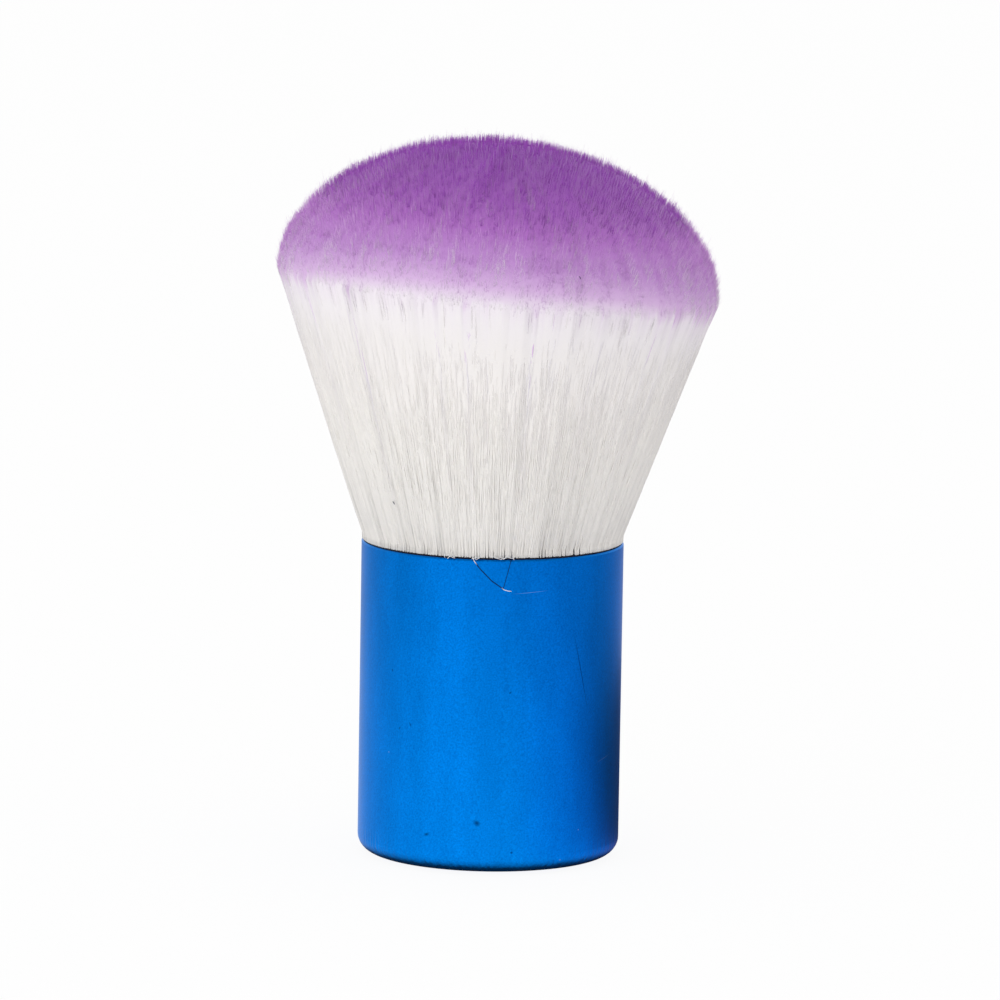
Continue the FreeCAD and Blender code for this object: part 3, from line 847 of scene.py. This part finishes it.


# Grey cards on the floor round the handle, which glow and which only reflections see: painted reflections. The
# brightness of each goes by the angle round the handle from the front, in degrees, and by the distance out, in
# millimetres. The near card's dark stretch behind on the right and its dark ring beside the base are the painted
# reflection of the object's shadow on the floor.
CARD_LIFT = 0.05
CARD_STEPS = 120
NEAR_LEVELS = [
    (-180, (0.8, 0.8, 0.8)),
    (-95, (0.85, 0.83, 0.85)),
    (-60, (1.0, 1.0, 1.0)),
    (15, (1.0, 1.0, 1.0)),
    (45, (0.90, 0.78, 0.92)),
    (73, (0.60, 0.45, 0.62)),
    (96, (0.24, 0.15, 0.24)),
    (117, (0.08, 0.065, 0.08)),
    (150, (0.06, 0.05, 0.06)),
    (170, (0.4, 0.4, 0.4)),
    (180, (0.8, 0.8, 0.8)),
]
# Dark close to the base: painted reflection of the object's contact shadow
NEAR_FALL = [(10.0, 0.03), (12.0, 0.05), (12.8, 0.7), (14.0, 1.0), (115.0, 1.0)]
FAR_LEVELS = [
    (-180, (0.75, 0.75, 0.75)),
    (-95, (0.78, 0.76, 0.78)),
    (-40, (0.84, 0.78, 0.84)),
    (10, (0.72, 0.60, 0.72)),
    (45, (0.70, 0.58, 0.70)),
    (96, (0.58, 0.50, 0.58)),
    (150, (0.58, 0.52, 0.58)),
    (180, (0.75, 0.75, 0.75)),
]
FAR_FALL = [(115.0, 1.0), (180.0, 0.9), (300.0, 0.72), (1500.0, 0.65)]


def shares(stops):
    """Colour stops moved to run from 0 to 1."""
    first, last = stops[0][0], stops[-1][0]
    return [((place - first) / (last - first), colour) for place, colour in stops]


def card(name, levels, fall):
    turn = np.radians(np.linspace(levels[0][0], levels[-1][0], CARD_STEPS + 1))
    rings = []
    for reach in (fall[0][0], fall[-1][0]):
        rings.append(np.stack([reach * np.sin(turn), -reach * np.cos(turn), np.full(len(turn), CARD_LIFT)], axis=1))
    low = np.arange(CARD_STEPS)
    far = low + CARD_STEPS + 1
    share = np.linspace(0, 1, CARD_STEPS + 1)
    uv = np.stack([np.tile(share, 2), np.repeat([0.0, 1.0], CARD_STEPS + 1)], axis=1)
    piece = mesh_object(name, np.concatenate(rings), [np.stack([low, far, far + 1, low + 1], axis=1)], uv)
    made, tree = material(name)
    place = node(tree, "ShaderNodeUVMap", uv_map="OFBake").outputs["UV"]
    split = node(tree, "ShaderNodeSeparateXYZ", {"Vector": place})
    level = ramp(tree, split.outputs["X"], shares(levels))
    fading = ramp(tree, split.outputs["Y"], shares([(reach, grey(share)) for reach, share in fall]))
    both = node(tree, "ShaderNodeMix", values={0: 1.0}, data_type="RGBA", blend_type="MULTIPLY")
    tree.links.new(level, both.inputs[6])
    tree.links.new(fading, both.inputs[7])
    paint = node(tree, "ShaderNodeEmission", {"Color": both.outputs[2]}, {"Strength": 1.0})
    node(tree, "ShaderNodeOutputMaterial", {"Surface": paint.outputs[0]})
    dress(piece, made)
    piece.visible_camera = False
    piece.visible_diffuse = False
    piece.visible_shadow = False
    piece.visible_transmission = False


# Camera at the photograph's angle
CAMERA_PLACE = (0.0, -0.700, 0.1362)
CAMERA_LENS = 267.3
CAMERA_SENSOR = 36.0
CAMERA_YAW = math.radians(0.052)
CAMERA_PITCH = math.radians(8.3162)
CAMERA_ROLL = math.radians(0.938)
CAMERA_CLIP = (0.01, 50.0)


def camera():
    data = bpy.data.cameras.new("camera")
    data.lens = CAMERA_LENS
    data.sensor_width = CAMERA_SENSOR
    data.clip_start, data.clip_end = CAMERA_CLIP
    made = bpy.data.objects.new("camera", data)
    right = Vector((math.cos(CAMERA_YAW), -math.sin(CAMERA_YAW), 0))
    ahead = Vector((math.cos(CAMERA_PITCH) * math.sin(CAMERA_YAW), math.cos(CAMERA_PITCH) * math.cos(CAMERA_YAW),
                    -math.sin(CAMERA_PITCH)))
    up = right.cross(ahead)
    x = right * math.cos(CAMERA_ROLL) + up * math.sin(CAMERA_ROLL)
    y = up * math.cos(CAMERA_ROLL) - right * math.sin(CAMERA_ROLL)
    turn = Matrix((x, y, -ahead)).transposed().to_4x4()
    made.matrix_world = Matrix.Translation(CAMERA_PLACE) @ turn
    bpy.context.scene.collection.objects.link(made)
    bpy.context.scene.camera = made


def stage():
    camera()
    world()
    floor()
    card("card_near", NEAR_LEVELS, NEAR_FALL)
    card("card_far", FAR_LEVELS, FAR_FALL)
    lamp("key", KEY_PLACE, KEY_TARGET, KEY_SIZE, KEY_WATTS)


def attach(pieces, look):
    for piece in pieces:
        dress(piece, look)
        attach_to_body(piece, "root")


def tuft():
    packed = fibre_material("fibre_packed", PACKED_DYE_AND_SHADE_STOPS, 0)
    side = fibre_material("fibre_side", LOOSE_DYE_AND_SHADE_STOPS, 0)
    loose = fibre_material("fibre_tip", LOOSE_DYE_AND_SHADE_STOPS, TIP_TRANSLUCENCE)
    inside = core()
    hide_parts("bristle_tuft")
    crown, skirt = crown_fibres()
    outer = side_fibres() + root_fibres() + skirt
    attach([inside], packed)
    attach(outer, side)
    attach(crown, loose)
    attach([stray_fibres()], stray_material())


def main():
    bpy.context.scene.view_settings.view_transform = "Standard"
    stage()
    tuft()
    dress(frame["nodes"]["handle_shell"], metal_material())
    for name, look in GRAINED.items():
        dress(frame["nodes"][name], grained_material(*look))


main()
